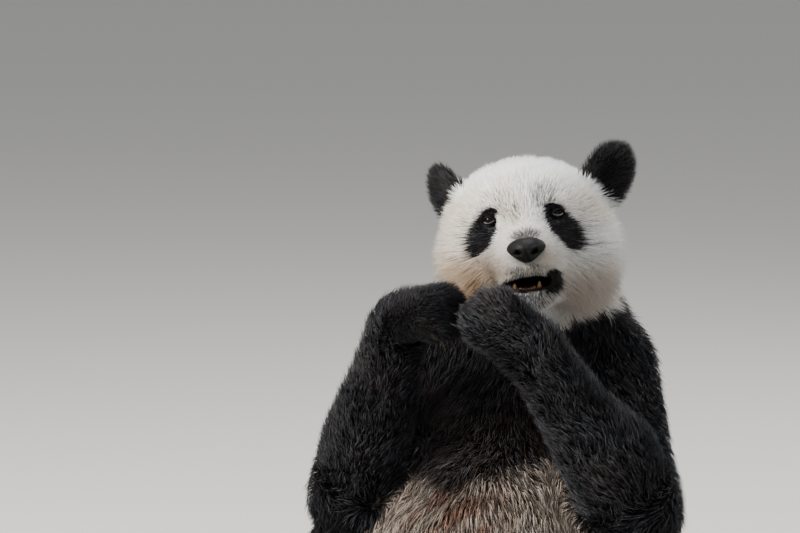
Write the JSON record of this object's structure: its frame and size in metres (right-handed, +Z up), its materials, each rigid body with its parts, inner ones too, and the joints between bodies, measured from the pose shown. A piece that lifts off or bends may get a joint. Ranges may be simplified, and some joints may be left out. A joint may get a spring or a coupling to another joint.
{
  "type": "giant panda",
  "caption": "Adult giant panda sitting upright on its rump, both forepaws raised to its open mouth, head turned slightly to its left.",
  "frame": {"origin": "middle of the flat it sits on, under its rump, at floor level", "axes": "+Z up; the panda faces -Y; its own left side is at +X"},
  "size_m": [0.7486, 0.7585, 0.9575],
  "materials": {
    "coat_white": "matte",
    "coat_black": "matte",
    "coat_belly": "matte",
    "leather": "satin",
    "eye": "gloss",
    "claw": "satin"
  },
  "bodies": {
    "root": {"eye_left": "eye", "eye_right": "eye", "nose": "leather", "jaw": "coat_white", "head": "coat_white", "ear_left": "coat_black", "ear_right": "coat_black", "chest": "coat_black", "neck": "coat_white", "forepaw_left": "coat_black", "forepaw_left_claw_1": "claw", "forepaw_left_claw_2": "claw", "forepaw_left_claw_3": "claw", "forepaw_left_claw_4": "claw", "forepaw_left_claw_5": "claw", "forearm_left": "coat_black", "upper_arm_left": "coat_black", "forepaw_right": "coat_black", "forepaw_right_claw_1": "claw", "forepaw_right_claw_2": "claw", "forepaw_right_claw_3": "claw", "forepaw_right_claw_4": "claw", "forepaw_right_claw_5": "claw", "forearm_right": "coat_black", "upper_arm_right": "coat_black", "abdomen": "coat_belly", "tail": "coat_white", "hindfoot_left": "coat_black", "hindfoot_left_claw_1": "claw", "hindfoot_left_claw_2": "claw", "hindfoot_left_claw_3": "claw", "hindfoot_left_claw_4": "claw", "hindfoot_left_claw_5": "claw", "shank_left": "coat_black", "thigh_left": "coat_black", "hindfoot_right": "coat_black", "hindfoot_right_claw_1": "claw", "hindfoot_right_claw_2": "claw", "hindfoot_right_claw_3": "claw", "hindfoot_right_claw_4": "claw", "hindfoot_right_claw_5": "claw", "shank_right": "coat_black", "thigh_right": "coat_black"}
  },
  "joints": []
}
